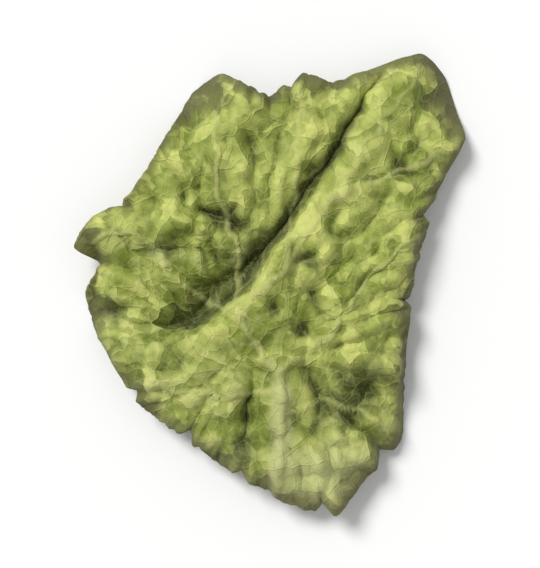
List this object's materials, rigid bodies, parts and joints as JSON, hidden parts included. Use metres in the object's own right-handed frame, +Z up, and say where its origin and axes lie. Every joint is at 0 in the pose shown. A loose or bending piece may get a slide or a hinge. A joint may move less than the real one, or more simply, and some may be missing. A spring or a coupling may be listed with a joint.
{
  "type": "dried coriander leaf",
  "caption": "Crisped piece of dried coriander leaf: a thin fan of lobed blade, folded along its main vein and curled at its margins.",
  "frame": {"origin": "under the middle of the leaf's box, on the surface that it lies on", "axes": "+Z up, +Y from the broken foot of the fan to its lobes, +X to the right seen from above"},
  "size_m": [0.0078, 0.0094, 0.0017],
  "materials": {
    "dried_leaf": "matt, slightly silky, olive green with paler veins"
  },
  "bodies": {
    "root": {"leaf_blade": "dried_leaf"}
  },
  "joints": []
}
